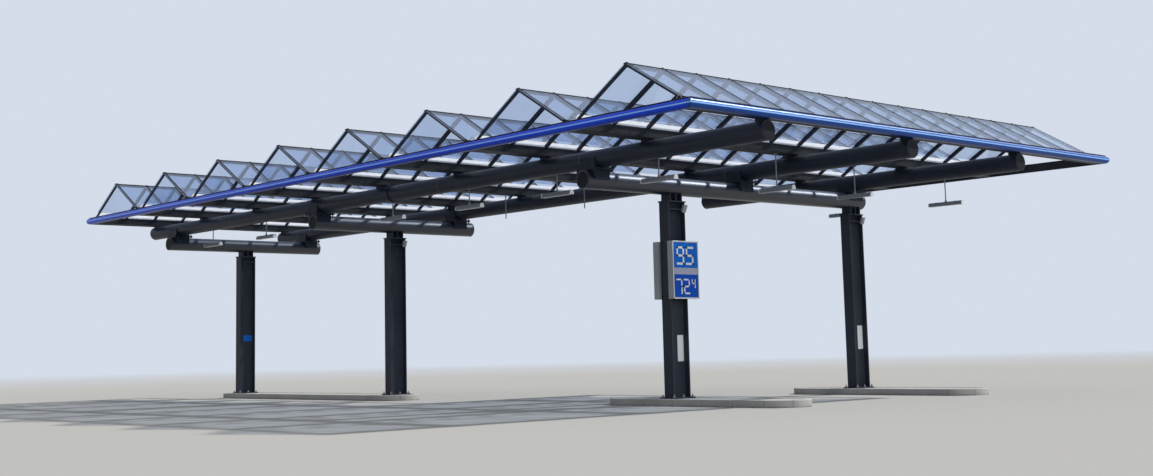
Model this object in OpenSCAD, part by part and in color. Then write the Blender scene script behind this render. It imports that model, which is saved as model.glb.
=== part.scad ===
// Filling station canopy: a ridge and furrow glass roof on round steel beams,
// cross tubes and four steel columns that stand on kerbed islands.
// +Z is up, the gables face -Y and +Y, and the origin is on the ground under the middle of the roof.

/* [Roof] */
// Distance from one valley to the next
gable_pitch = 3400; // [3200:50:3600]
// Height of the ridge line over the valley line
gable_rise = 1014; // [900:10:1150]
// Height of the valley line over the ground
valley_z = 5930; // [5850:10:6200]
// Distance from one rafter to the next along a ridge
bay = 1008; // [960:8:1040]
// Bays along the ridges of the deep part
deep_bays = 15; // [13:1:16]
// Bays along the ridges of the shallow part
shallow_bays = 9; // [9:1:10]
// Front fascia face to the first rafter
front_margin = 190; // [175:5:300]
// Last rafter to the rear fascia face
rear_margin = 450; // [200:10:600]
// End fascia face to the outermost valley line
end_margin = 200; // [190:5:300]

/* [Rafters and glass] */
// Width of a rafter
rafter_w = 60; // [40:5:90]
// Depth of a rafter, square to the slope
rafter_d = 80; // [60:5:120]
// Width of the ridge bar
ridge_bar_w = 70; // [50:5:100]
// Depth of the ridge bar
ridge_bar_d = 100; // [80:5:150]
// Thickness of the glass
glass_t = 16; // [8:1:24]
// Glass beyond the middle of the end rafters
glass_overhang = 60; // [40:5:90]
// Open joint between the two glass slopes at the ridge
ridge_joint = 50; // [20:5:60]
// Width of the white strip at the foot of the glass
strip_w = 170; // [100:5:250]
// Thickness of the white strip
strip_t = 6; // [3:1:10]
// Depth to which the white strip turns down into the gutter
strip_turn = 60; // [20:5:90]
// Joint between glass and white strip
strip_joint = 6; // [2:1:12]

/* [Gutters] */
// Width of a valley gutter
gutter_w = 400; // [300:10:500]
// Depth of a gutter
gutter_d = 200; // [180:5:240]
// Thickness of the gutter plates
gutter_t = 10; // [6:1:14]
// Height of the seats between gutters and beams
seat_h = 40; // [20:5:80]
// Length of a gutter seat along the beam
seat_l = 220; // [100:10:300]
// Width of a gutter seat across the beam
seat_w = 180; // [100:10:240]

/* [Fascia] */
// Height of the rounded fascia
fascia_h = 200; // [160:10:240]
// Depth of the fascia from nose to back
fascia_d = 130; // [125:5:160]

/* [Beams and cross tubes] */
// Diameter of the long beams
beam_dia = 418; // [380:2:440]
// Wall of the long beams
beam_wall = 16; // [10:1:25]
// Front fascia face to the axis of the front beam
front_beam_y = 2380; // [2200:20:2600]
// Front fascia face to the axis of the middle beam
middle_beam_y = 7260; // [7000:20:7500]
// Front fascia face to the axis of the rear beam
rear_beam_y = 11680; // [11400:20:11900]
// Distance of the beam ends from the roof's end faces
beam_inset = 150; // [100:10:300]
// Diameter of the cross tubes
tube_dia = 418; // [380:2:440]
// Wall of the cross tubes
tube_wall = 16; // [10:1:25]
// Cross tube axis to long beam axis, in height
tube_drop = 480; // [450:5:560]
// Overhang of a cross tube past its outer beams
tube_overhang = 390; // [390:10:700]
// Valley line to the axis of the middle cross tube
middle_tube_shift = 200; // [0:10:300]
// Thickness of the plates that close the tube ends
end_plate_t = 14; // [8:1:20]
// Side of the cradles where a beam crosses a tube
cradle_w = 470; // [450:5:520]
// Thickness of the upright plates in cradles and tube seats
saddle_t = 25; // [15:1:40]
// Cradle flanges stand out past the upright plates by
flange_lip = 70; // [40:5:90]
// Thickness of the two cradle flanges together
flange_pair_t = 40; // [24:2:50]
// Width of the splice ring on the front beam
splice_w = 60; // [40:5:100]
// Height of the splice ring over the tube
splice_h = 22; // [10:2:30]
// Depth to which the splice ring is let into the tube
splice_sink = 8; // [4:1:9]
// Splice ring to the middle of the valley beside it
splice_shift = 490; // [240:10:600]

/* [Columns] */
// Width of the column flanges
column_w = 300; // [260:10:340]
// Depth of the column over its flanges
column_d = 560; // [440:10:580]
// Thickness of the column flanges
flange_t = 32; // [20:2:40]
// Thickness of the column web
web_t = 20; // [12:2:26]
// Radius at the root between web and flanges
root_r = 27; // [10:1:30]
// Thickness of base, cap and stiffener plates
plate_t = 30; // [20:2:40]
// Column cap and base plates stand out by
plate_lip = 40; // [20:5:80]
// Free height between the cap and the stiffener plates
stiffener_drop = 150; // [120:10:240]
// Front fascia face to the front columns
front_column_y = 4820; // [4600:20:5000]
// Shift of the middle column and its cross tube to the rear
middle_shift = 150; // [0:10:150]
// Depth of the tube seat along the cross tube
column_seat_d = 400; // [300:10:440]
// Height of the tube seat between column cap and cross tube
column_seat_h = 140; // [100:5:200]
// Height to which the tube seat reaches up beside the tube
seat_wing_h = 50; // [20:5:80]

/* [Islands] */
// Height of the islands
island_h = 160; // [120:10:200]
// Width of the islands
island_w = 1240; // [1000:20:1500]
// Length of the short islands
short_island_l = 5840; // [5000:20:7000]
// Length of the long island
long_island_l = 10540; // [10200:20:12000]
// Width of the kerb around an island
kerb_w = 150; // [100:10:200]
// Depth of the paving inside the kerb below its top
kerb_lip = 10; // [5:1:20]
// Left end of the long island to the left column
long_island_end = 980; // [800:20:1200]
// Left end of a short island to its column
short_island_end = 2040; // [1200:20:2400]

/* [Lamps and signs] */
// Length of a lamp
lamp_l = 1050; // [800:50:1400]
// Width of a lamp at its foot
lamp_w = 120; // [90:5:200]
// Width of a lamp at its top
lamp_top_w = 70; // [50:5:90]
// Height of a lamp
lamp_h = 100; // [60:5:140]
// Height of the upright foot of a lamp
lamp_foot_h = 35; // [15:5:50]
// Height of the lamps over the ground
lamp_z = 5000; // [4950:10:5070]
// Front fascia face to the first row of lamps
lamp_row_1 = 2710; // [2680:10:2900]
// Front fascia face to the second row of lamps
lamp_row_2 = 6650; // [6400:10:6800]
// Front fascia face to the third row of lamps
lamp_row_3 = 9650; // [9400:10:9900]
// Front fascia face to the fourth row of lamps
lamp_row_4 = 13600; // [13000:20:13800]
// Diameter of the lamp rods
rod_dia = 30; // [16:2:50]
// Diameter of the flanges on the lamp rods
rod_flange_dia = 120; // [60:5:160]
// Thickness of the flanges on the lamp rods
rod_flange_t = 15; // [8:1:25]
// Rods without a lamp end higher by
bare_rod_cut = 150; // [0:10:400]
// Width of a price sign
sign_w = 860; // [600:10:900]
// Height of a price sign
sign_h = 1350; // [1000:10:1500]
// Thickness of a price sign
sign_t = 170; // [80:5:200]
// Width of the frame around a sign face
sign_frame_w = 35; // [15:5:60]
// Depth to which a sign face is let in
face_in = 8; // [4:1:20]
// Shift of the price signs to the rear of the column's middle
sign_shift = 80; // [-100:10:100]
// Height of the foot of the price signs over the island
sign_z = 2300; // [2000:10:3000]

/* [Hidden] */
$fn = 64;
ridge_count = 8;
deep_ridges = 3;
fit = 0.3;

roof_l = ridge_count * gable_pitch + 2 * end_margin;
roof_d = front_margin + deep_bays * bay + rear_margin;
shallow_d = front_margin + shallow_bays * bay + rear_margin;
front_y = -roof_d / 2;
slope_a = atan(gable_rise / (gable_pitch / 2));
rafter_v = rafter_d / cos(slope_a);
ridge_top_z = valley_z + gable_rise + rafter_v / 2;
rafter_run = gable_pitch / 2 - gutter_w / 2;
strip_top = rafter_run - strip_w * cos(slope_a);
gutter_top_z = valley_z + gutter_w / 2 * tan(slope_a);
gutter_low_z = gutter_top_z - gutter_d;
beam_z = gutter_low_z - seat_h - beam_dia / 2;
tube_z = beam_z - tube_drop;
fascia_r = fascia_h / 2;
step_valley = deep_ridges;
cap_z = tube_z - tube_dia / 2 - column_seat_h;

// Places along X of the valleys, the ridges and the cross tubes
function valley_x(i) = roof_l / 2 - end_margin - i * gable_pitch;
function ridge_x(k) = valley_x(k - 0.5);
function tube_x(i) = [ridge_x(8), valley_x(5) + middle_tube_shift, ridge_x(2)][i - 1];
function beam_y(i) = front_y + [front_beam_y, middle_beam_y, rear_beam_y][i];
function ridge_bays(k) = k <= deep_ridges ? deep_bays : shallow_bays;
function rafter_y(j) = front_y + front_margin + j * bay;
step_x = valley_x(step_valley) - gutter_w / 2 - fascia_d;
deep_back_y = front_y + roof_d;
shallow_back_y = front_y + shallow_d;
beam_ends = [[-roof_l / 2 + beam_inset, roof_l / 2 - beam_inset],
             [-roof_l / 2 + beam_inset, roof_l / 2 - beam_inset],
             [step_x + beam_inset, roof_l / 2 - beam_inset]];
column_xy = [[tube_x(1), front_y + front_column_y],
             [tube_x(2), front_y + front_column_y + middle_shift],
             [tube_x(3), front_y + front_column_y],
             [tube_x(3), beam_y(2)]];

// A solid with the given X Z outline, drawn from y0 to y1
module along_y(y0, y1) {
    translate([0, y1, 0])
        rotate([90, 0, 0])
            linear_extrude(y1 - y0)
                children();
}

// A solid with the given Y Z outline, drawn from x0 to x1
module along_x(x0, x1) {
    translate([x0, 0, 0])
        rotate([90, 0, 90])
            linear_extrude(x1 - x0)
                children();
}

// Concrete island with round ends and a kerb that stands a little proud
module island(x0, l, y) {
    color([0.72, 0.71, 0.69])
        difference() {
            island_block(x0, l, y, island_w, 0, island_h);
            island_block(x0, l, y, island_w - 2 * kerb_w, island_h - kerb_lip, island_h + kerb_lip);
        }
}

module island_block(x0, l, y, w, z0, z1) {
    e = island_w / 2;
    translate([0, 0, z0])
        linear_extrude(z1 - z0) {
            translate([x0 + e, y - w / 2])
                square([l - 2 * e, w]);
            translate([x0 + e, y])
                circle(d = w);
            translate([x0 + l - e, y])
                circle(d = w);
        }
}

// Rolled steel column with base, cap, stiffeners and a seat for the cross tube
module column(i) {
    at = column_xy[i - 1];
    foot_z = island_h - kerb_lip;
    color([0.17, 0.19, 0.22])
        translate([at[0], at[1], 0])
            difference() {
                union() {
                    column_shaft(foot_z, cap_z);
                    column_plate(foot_z, plate_lip * 2);
                    column_plate(cap_z - plate_t, plate_lip / 2);
                    column_plate(cap_z - 2 * plate_t - stiffener_drop, 0);
                    saddle_plates(column_w, column_seat_d, cap_z, tube_z - tube_dia / 2 + seat_wing_h);
                    translate([-saddle_t / 2, -column_seat_d / 2, cap_z])
                        cube([saddle_t, column_seat_d, column_seat_h]);
                }
                along_y(-column_d, column_d)
                    translate([0, tube_z])
                        circle(tube_dia / 2 + fit);
            }
}

module column_shaft(z0, z1) {
    translate([0, 0, z0])
        linear_extrude(z1 - z0) {
            square([web_t, column_d], center = true);
            for (turn = [0, 180])
                rotate(turn) {
                    translate([0, (column_d - flange_t) / 2])
                        square([column_w, flange_t], center = true);
                    translate([web_t / 2, column_d / 2 - flange_t])
                        root_fillet();
                    translate([-web_t / 2, column_d / 2 - flange_t])
                        mirror([1, 0])
                            root_fillet();
                }
        }
}

// Hollow fillet in the corner between a web on the left and a flange above
module root_fillet() {
    difference() {
        translate([0, -root_r])
            square(root_r);
        translate([root_r, -root_r])
            circle(root_r);
    }
}

// Three upright plates across X, spread over a length along Y
module saddle_plates(w, l, z0, z1) {
    for (y = [saddle_t - l, 0, l - saddle_t] / 2)
        translate([-w / 2, y - saddle_t / 2, z0])
            cube([w, saddle_t, z1 - z0]);
}

module column_plate(z, lip) {
    translate([-column_w / 2 - lip, -column_d / 2 - lip, z])
        cube([column_w + 2 * lip, column_d + 2 * lip, plate_t]);
}

// Hollow round tube along X or Y with closed ends
module closed_ring(dia, wall, l) {
    difference() {
        cylinder(d = dia, h = l);
        translate([0, 0, end_plate_t])
            cylinder(d = dia - 2 * wall, h = l - 2 * end_plate_t);
    }
}

module cross_tube(i, last_beam, shift = 0) {
    y0 = beam_y(0) - tube_overhang + shift;
    y1 = beam_y(last_beam) + tube_overhang + shift;
    color([0.20, 0.22, 0.25])
        translate([tube_x(i), y1, tube_z])
            rotate([90, 0, 0])
                closed_ring(tube_dia, tube_wall, y1 - y0);
}

module beam(i) {
    x0 = beam_ends[i][0];
    x1 = beam_ends[i][1];
    color([0.20, 0.22, 0.25])
        translate([x0, beam_y(i), beam_z])
            rotate([0, 90, 0])
                closed_ring(beam_dia, beam_wall, x1 - x0);
}

// Front beam with the bolted ring that joins its two lengths
module beam_front() {
    beam(0);
    color([0.20, 0.22, 0.25])
        translate([valley_x(4) + splice_shift, beam_y(0), beam_z])
            rotate([0, 90, 0])
                difference() {
                    cylinder(d = beam_dia + 2 * splice_h, h = splice_w, center = true);
                    cylinder(d = beam_dia - 2 * splice_sink, h = 2 * splice_w, center = true);
                }
}

// Welded cradle where a beam lies across a cross tube: plates that ride on the tube,
// plates that hold the beam, and the pair of flanges that joins them
module cradle(i, b) {
    middle_z = (tube_z + beam_z) / 2;
    flange_w = cradle_w + 2 * flange_lip;
    color([0.15, 0.17, 0.20])
        translate([tube_x(i), beam_y(b), 0])
            difference() {
                union() {
                    saddle_plates(cradle_w, cradle_w, tube_z, middle_z);
                    rotate(90)
                        saddle_plates(cradle_w, cradle_w, middle_z, beam_z);
                    translate([-flange_w / 2, -flange_w / 2, middle_z - flange_pair_t / 2])
                        cube([flange_w, flange_w, flange_pair_t]);
                }
                along_y(-cradle_w, cradle_w)
                    translate([0, tube_z])
                        circle(tube_dia / 2 + fit);
                along_x(-cradle_w, cradle_w)
                    translate([0, beam_z])
                        circle(beam_dia / 2 + fit);
            }
}

module beam_cradles() {
    for (i = [1, 2, 3])
        for (b = [0, 1])
            cradle(i, b);
    cradle(3, 2);
}

// Low blocks on the beams that the gutters rest on
module gutter_seat(x, b) {
    y = beam_y(b);
    low = beam_z + beam_dia / 2 - seat_w / 2;
    color([0.15, 0.17, 0.20])
        difference() {
            translate([x - seat_l / 2, y - seat_w / 2, low])
                cube([seat_l, seat_w, gutter_low_z - low]);
            along_x(x - seat_l, x + seat_l)
                translate([y, beam_z])
                    circle(beam_dia / 2 + fit);
        }
}

module gutter_seats() {
    for (i = [0 : ridge_count])
        for (b = [0, 1])
            gutter_seat(seat_x(i), b);
    for (i = [0 : step_valley])
        gutter_seat(seat_x(i), 2);
}

// Middle of the seat under gutter i, kept on the beam and under the end gutters
function seat_x(i) = valley_x(i) + (i == 0 ? -seat_l / 2 : 0) + (i == ridge_count ? seat_l / 2 : 0);

// Trough of bent plate between x0 and x1, open at the top
module trough(x0, x1, y0, y1) {
    color([0.14, 0.15, 0.18])
        difference() {
            translate([x0, y0, gutter_low_z])
                cube([x1 - x0, y1 - y0, gutter_d]);
            translate([x0 + gutter_t, y0 + gutter_t, gutter_low_z + gutter_t])
                cube([x1 - x0 - 2 * gutter_t, y1 - y0 - 2 * gutter_t, gutter_d]);
        }
}

module valley_gutter(i, back_y) {
    trough(valley_x(i) - gutter_w / 2, valley_x(i) + gutter_w / 2, front_y + fascia_d, back_y - fascia_d);
}

module gutters_deep() {
    for (i = [1 : step_valley - 1])
        valley_gutter(i, deep_back_y);
}

module gutters_shallow() {
    for (i = [step_valley + 1 : ridge_count - 1])
        valley_gutter(i, shallow_back_y);
}

module gutters_edge() {
    trough(valley_x(0) - gutter_w / 2, roof_l / 2 - fascia_d, front_y + fascia_d, deep_back_y - fascia_d);
    trough(-roof_l / 2 + fascia_d, valley_x(ridge_count) + gutter_w / 2,
           front_y + fascia_d, shallow_back_y - fascia_d);
}

// Rounded fascia along X on a trapezium plan, nose towards -Y, mitred at both ends
module fascia(l, cut0, cut1) {
    color([0.07, 0.14, 0.62])
        intersection() {
            along_x(-fascia_d, l + fascia_d)
                fascia_profile();
            translate([0, 0, valley_z - fascia_h])
                linear_extrude(2 * fascia_h)
                    polygon([[0, 0], [l, 0], [l - cut1 * fascia_d, fascia_d], [cut0 * fascia_d, fascia_d]]);
        }
}

module fascia_profile() {
    translate([fascia_r, valley_z])
        circle(fascia_r);
    translate([fascia_r, valley_z - fascia_r])
        square([fascia_d - fascia_r, fascia_h]);
}

module fascia_front() {
    translate([-roof_l / 2, front_y, 0])
        fascia(roof_l, 1, 1);
}

module fascia_right() {
    translate([roof_l / 2, front_y, 0])
        rotate([0, 0, 90])
            fascia(roof_d, 1, 1);
}

module fascia_rear_deep() {
    translate([roof_l / 2, deep_back_y, 0])
        rotate([0, 0, 180])
            fascia(roof_l / 2 - step_x, 1, 1);
}

module fascia_step() {
    translate([step_x, deep_back_y, 0])
        rotate([0, 0, -90])
            fascia(deep_back_y - shallow_back_y, 1, -1);
}

module fascia_rear_shallow() {
    translate([step_x, shallow_back_y, 0])
        rotate([0, 0, 180])
            fascia(step_x + roof_l / 2, -1, 1);
}

module fascia_left() {
    translate([-roof_l / 2, shallow_back_y, 0])
        rotate([0, 0, -90])
            fascia(shallow_d, 1, 1);
}

// Height of the rafters' upper faces at a distance from the ridge
function slope_z(run) = ridge_top_z - run * tan(slope_a);

// Rafters on both slopes of one ridge, from the ridge bar to the gutters
module rafters(k) {
    color([0.15, 0.17, 0.20])
        translate([ridge_x(k), 0, 0])
            for (j = [0 : ridge_bays(k)])
                for (side = [0, 1])
                    mirror([side, 0, 0])
                        along_y(rafter_y(j) - rafter_w / 2, rafter_y(j) + rafter_w / 2)
                            rafter_outline(ridge_bar_w / 2, rafter_run);
}

module rafter_outline(a, b) {
    polygon([[a, slope_z(a)], [b, slope_z(b)], [b, slope_z(b) - rafter_v], [a, slope_z(a) - rafter_v]]);
}

module ridge_bar_profile() {
    e = ridge_bar_w / 2;
    foot = ridge_top_z - ridge_bar_d;
    polygon([[0, ridge_top_z], [e, slope_z(e)], [e, foot], [-e, foot], [-e, slope_z(e)]]);
}

module ridge_bars() {
    color([0.15, 0.17, 0.20])
        for (k = [1 : ridge_count])
            translate([ridge_x(k), 0, 0])
                along_y(rafter_y(0) - rafter_w / 2, rafter_y(ridge_bays(k)) + rafter_w / 2)
                    ridge_bar_profile();
}

// Sheet on the rafters between two distances from the ridge, t thick
module sheet_profile(a, b, t) {
    v = t / cos(slope_a);
    polygon([[a, slope_z(a)], [b, slope_z(b)], [b, slope_z(b) + v], [a, slope_z(a) + v]]);
}

module roof_glass(k) {
    last = ridge_bays(k);
    color([0.62, 0.72, 0.82, 0.45])
        for (side = [0, 1])
            translate([ridge_x(k), 0, 0])
                mirror([side, 0, 0])
                    along_y(rafter_y(0) - glass_overhang, rafter_y(last) + glass_overhang)
                        sheet_profile(ridge_joint / 2, strip_top - strip_joint, glass_t);
}

// White strip at the foot of the glass, turned down into the gutter
module eaves_strip_profile() {
    foot = rafter_run + gutter_t;
    sheet_profile(strip_top, foot + strip_t, strip_t);
    translate([foot + fit, gutter_top_z - strip_turn])
        square([strip_t - fit, slope_z(foot) - gutter_top_z + strip_turn]);
}

module eaves_strips() {
    color([0.93, 0.94, 0.94])
        for (k = [1 : ridge_count])
            for (side = [0, 1])
                translate([ridge_x(k), 0, 0])
                    mirror([side, 0, 0])
                        along_y(rafter_y(0) - glass_overhang, rafter_y(ridge_bays(k)) + glass_overhang)
                            eaves_strip_profile();
}

// Places of the lamps and of the rods without one: gutter number and row number
lamp_places = [[1, 1], [2, 1], [3, 1], [4, 1], [6, 1], [7, 1], [1, 2], [1, 3], [1, 4], [2, 4]];
bare_rod_places = [[3, 2], [4, 2]];
function lamp_row_y(row) = front_y + [lamp_row_1, lamp_row_2, lamp_row_3, lamp_row_4][row - 1];

// Rod with a flange under a gutter
module lamp_rod(place, foot_z) {
    translate([valley_x(place[0]), lamp_row_y(place[1]), 0]) {
        translate([0, 0, foot_z])
            cylinder(d = rod_dia, h = gutter_low_z - foot_z);
        translate([0, 0, gutter_low_z - rod_flange_t])
            cylinder(d = rod_flange_dia, h = rod_flange_t);
    }
}

module lamp_rods() {
    color([0.55, 0.57, 0.60]) {
        for (place = lamp_places)
            lamp_rod(place, lamp_z + lamp_h / 2);
        for (place = bare_rod_places)
            lamp_rod(place, lamp_z + bare_rod_cut);
    }
}

// Linear lamps, one under each rod
module ceiling_lamps() {
    color([0.60, 0.62, 0.65])
        for (place = lamp_places)
            translate([valley_x(place[0]), lamp_row_y(place[1]), lamp_z - lamp_h / 2])
                along_x(-lamp_l / 2, lamp_l / 2)
                    lamp_profile();
}

// Housing that narrows towards its top, over an upright foot
module lamp_profile() {
    foot = lamp_w / 2;
    top = lamp_top_w / 2;
    polygon([[-foot, 0], [foot, 0], [foot, lamp_foot_h], [top, lamp_h], [-top, lamp_h], [-foot, lamp_foot_h]]);
}

// Price sign box on the edges of the flanges of column 3, with its face let in
module price_sign(side) {
    at = column_xy[2];
    color([0.78, 0.80, 0.82])
        translate([at[0], at[1] + sign_shift, island_h + sign_z])
            mirror([side, 0, 0])
                translate([column_w / 2, -sign_w / 2, 0])
                    difference() {
                        cube([sign_t, sign_w, sign_h]);
                        translate([sign_t - face_in, sign_frame_w, sign_frame_w])
                            cube([2 * face_in, sign_w - 2 * sign_frame_w, sign_h - 2 * sign_frame_w]);
                    }
}

island(tube_x(1) - long_island_end, long_island_l, front_y + front_column_y + middle_shift / 2);  // island_left
island(tube_x(3) - short_island_end, short_island_l, front_y + front_column_y);  // island_front_right
island(tube_x(3) - short_island_end, short_island_l, beam_y(2));  // island_rear_right
column(1);  // column_1
column(2);  // column_2
column(3);  // column_3
column(4);  // column_4
cross_tube(1, 1);  // cross_tube_left
cross_tube(2, 1, middle_shift);  // cross_tube_middle
cross_tube(3, 2);  // cross_tube_right
beam_cradles();
beam_front();
beam(1);  // beam_middle
beam(2);  // beam_rear
gutter_seats();
gutters_deep();
valley_gutter(step_valley, deep_back_y);  // gutter_step
gutters_shallow();
gutters_edge();
fascia_front();
fascia_right();
fascia_rear_deep();
fascia_step();
fascia_rear_shallow();
fascia_left();
ridge_bars();
rafters(1);  // rafters_1
rafters(2);  // rafters_2
rafters(3);  // rafters_3
rafters(4);  // rafters_4
rafters(5);  // rafters_5
rafters(6);  // rafters_6
rafters(7);  // rafters_7
rafters(8);  // rafters_8
roof_glass(1);  // roof_glass_1
roof_glass(2);  // roof_glass_2
roof_glass(3);  // roof_glass_3
roof_glass(4);  // roof_glass_4
roof_glass(5);  // roof_glass_5
roof_glass(6);  // roof_glass_6
roof_glass(7);  // roof_glass_7
roof_glass(8);  // roof_glass_8
eaves_strips();
lamp_rods();
ceiling_lamps();
price_sign(0);  // price_sign_right
price_sign(1);  // price_sign_left
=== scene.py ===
"""Looks of the filling station canopy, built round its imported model. All sizes are in metres."""

import math
import random

import bmesh
import bpy
from mathutils import Matrix, Vector


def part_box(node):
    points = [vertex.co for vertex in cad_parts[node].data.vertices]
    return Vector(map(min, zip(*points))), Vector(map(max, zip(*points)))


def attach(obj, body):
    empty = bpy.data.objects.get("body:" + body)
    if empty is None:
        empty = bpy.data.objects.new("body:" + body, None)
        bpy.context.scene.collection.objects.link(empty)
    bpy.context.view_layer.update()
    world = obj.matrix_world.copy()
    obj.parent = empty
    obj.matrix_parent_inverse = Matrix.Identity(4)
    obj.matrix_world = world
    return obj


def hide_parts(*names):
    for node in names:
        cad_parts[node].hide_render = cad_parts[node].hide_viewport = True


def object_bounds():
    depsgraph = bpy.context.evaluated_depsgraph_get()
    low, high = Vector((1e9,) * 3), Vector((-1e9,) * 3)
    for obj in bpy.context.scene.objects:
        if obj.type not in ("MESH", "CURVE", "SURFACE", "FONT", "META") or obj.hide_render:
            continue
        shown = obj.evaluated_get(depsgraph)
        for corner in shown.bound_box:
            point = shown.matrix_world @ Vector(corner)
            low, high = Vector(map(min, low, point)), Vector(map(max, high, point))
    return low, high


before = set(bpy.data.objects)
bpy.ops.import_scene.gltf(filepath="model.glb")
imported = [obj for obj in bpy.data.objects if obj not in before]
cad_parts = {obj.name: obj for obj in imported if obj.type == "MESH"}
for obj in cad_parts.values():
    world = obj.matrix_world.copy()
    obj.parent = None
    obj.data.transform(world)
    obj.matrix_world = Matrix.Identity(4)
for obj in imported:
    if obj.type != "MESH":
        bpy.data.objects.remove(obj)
cad_low, cad_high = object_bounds()


def middle(name):
    """Middle of a node's box."""
    low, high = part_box(name)
    return (low + high) / 2


# Driving dimensions of the structure, as its construction has them
RIDGES = 8
PITCH = 3.4
RISE = 1.014
BAY = 1.008
SLOPE = math.atan(RISE / (PITCH / 2))
RAFTER_W = 0.06
GLASS_T = 0.016
GUTTER_W = 0.4
GUTTER_T = 0.01
FASCIA_D = 0.13
BEAM_R = 0.209
BEAMS = ("beam_front", "beam_middle", "beam_rear")
VALLEY_Z = middle("fascia_front").z
GUTTER_EDGE_Z = VALLEY_Z + GUTTER_W / 2 * math.tan(SLOPE)

# Photo frame and camera
IMAGE_W = 1153
FOCAL_PX = 1437.4
AXIS_ABOVE_MIDDLE_PX = 58
SENSOR_W = 36.0
CAMERA_PLACE = (32.252, -27.348, 1.315)
CAMERA_TURN = (96.768, 1.360, 48.308)
CLIP_END = 3000
PANES_SEEN_THROUGH = 64

# Light and stage
SKY_COLOUR = (0.94, 0.97, 1.0)
# Name, way the light comes from, strength, angle in degrees, colour
SUNS = (
    ("key_light", (0.32, 0.74, 0.70), 3.3, 2, (1.0, 0.97, 0.93)),
    ("side_light", (0.95, -0.08, 0.30), 0.9, 50, SKY_COLOUR),
)
FILL_STRENGTH = 0.33
BACKDROP = (0.66, 0.72, 0.82)
FLOOR_COLOUR = (0.50, 0.50, 0.49)
FLOOR_RADIUS = 900.0
FLOOR_SIDES = 96
FLOOR_CLEAR = (34.0, 120.0)
FLOOR_BELOW = 0.001

RIGHT = Vector((1, 0, 0))
REAR = Vector((0, 1, 0))
UP = Vector((0, 0, 1))
CORNERS = ((0, 0), (1, 0), (1, 1), (0, 1))
# Sides of round and hexagonal details
WIRE_SIDES = 8
STUD_SIDES = 10
RING_SIDES = 18
HEX_SIDES = 6


# Mesh building


def about(at, width):
    """Start and end of a width about its middle."""
    return at - width / 2, at + width / 2


def circle(count):
    """Points round a circle of radius 1."""
    turns = [2 * math.pi * i / count for i in range(count)]
    return [(math.cos(t), math.sin(t)) for t in turns]


class Shape:
    """Points, faces and a shade for each face, for one mesh."""

    def __init__(self):
        self.points = []
        self.faces = []
        self.shades = []

    def add(self, points, faces, shade=0.5):
        first = len(self.points)
        self.points.extend(Vector(p) for p in points)
        self.faces.extend(tuple(first + i for i in face) for face in faces)
        self.shades.extend([shade] * len(faces))

    def block(self, corners, shade=0.5):
        """Solid from a ring of corners and the ring above it, in the same order."""
        count = len(corners) // 2
        faces = [tuple(range(count - 1, -1, -1)), tuple(range(count, 2 * count))]
        faces += [(i, (i + 1) % count, (i + 1) % count + count, i + count) for i in range(count)]
        self.add(corners, faces, shade)

    def box(self, a, b, turn=None, shade=0.5):
        """Box between two opposite corners, turned by a matrix if one is given."""
        xs, ys, zs = [sorted(pair) for pair in zip(a, b)]
        corners = [Vector((xs[i], ys[j], z)) for z in zs for i, j in CORNERS]
        if turn is not None:
            corners = [turn @ corner for corner in corners]
        self.block(corners, shade)

    def pad(self, x, y, half_x, half_y, z0, z1):
        """Level box centred on a point of the plan."""
        self.box((x - half_x, y - half_y, z0), (x + half_x, y + half_y, z1))

    def sweep(self, outline, frames, shade=0.5):
        """Outline of (u, v) points carried through frames of (origin, u axis, v axis), ends closed."""
        count = len(outline)
        points = [at + u_axis * u + v_axis * v for at, u_axis, v_axis in frames for u, v in outline]
        last = (len(frames) - 1) * count
        faces = []
        for a in range(0, last, count):
            for i in range(count):
                j = (i + 1) % count
                faces.append((a + i, a + j, a + count + j, a + count + i))
        faces += [tuple(range(count - 1, -1, -1)), tuple(range(last, last + count))]
        self.add(points, faces, shade)

    def lathe(self, start, axis, profile, sides):
        """Round solid about an axis, from (distance along, radius) points. Its ends are closed."""
        axis = Vector(axis).normalized()
        u_axis = axis.orthogonal().normalized()
        v_axis = axis.cross(u_axis)
        start = Vector(start)
        self.sweep(circle(sides), [(start + axis * along, u_axis * r, v_axis * r) for along, r in profile])


def shapes(count):
    return [Shape() for _ in range(count)]


def add_object(name, data):
    """A new object in the scene."""
    made = bpy.data.objects.new(name, data)
    bpy.context.scene.collection.objects.link(made)
    return made


def piece(name, shape, material, bevel=0.0, steps=1, smooth=35):
    """Turns a shape into a named piece that rides with the structure."""
    mesh = bpy.data.meshes.new(name)
    mesh.from_pydata(shape.points, [], shape.faces)
    work = bmesh.new()
    work.from_mesh(mesh)
    bmesh.ops.recalc_face_normals(work, faces=work.faces)
    work.to_mesh(mesh)
    work.free()
    mesh.materials.append(material)
    shades = mesh.attributes.new("shade", "FLOAT", "FACE")
    shades.data.foreach_set("value", shape.shades)
    mesh.shade_smooth()
    mesh.set_sharp_from_angle(angle=math.radians(smooth))
    made = add_object(name, mesh)
    if bevel:
        soften(made, bevel, steps)
    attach(made, "root")
    return made


def soften(made, width, steps):
    """Rounds the sharp edges of a piece."""
    bevel = made.modifiers.new("soft_edges", "BEVEL")
    bevel.width = width
    bevel.segments = steps
    bevel.limit_method = "ANGLE"
    bevel.angle_limit = math.radians(40)
    bevel.harden_normals = True


# Shader nodes

EVEN = (1, 1, 1)


def add_node(tree, kind, inputs=None, **settings):
    """Adds a shader node. Inputs are values or the sockets that feed them."""
    made = tree.nodes.new("ShaderNode" + kind)
    for key, value in settings.items():
        setattr(made, key, value)
    for key, value in (inputs or {}).items():
        socket = made.inputs[key]
        if isinstance(value, bpy.types.NodeSocket):
            tree.links.new(value, socket)
        else:
            socket.default_value = (*value, 1) if socket.type == "RGBA" else value
    return made


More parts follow.
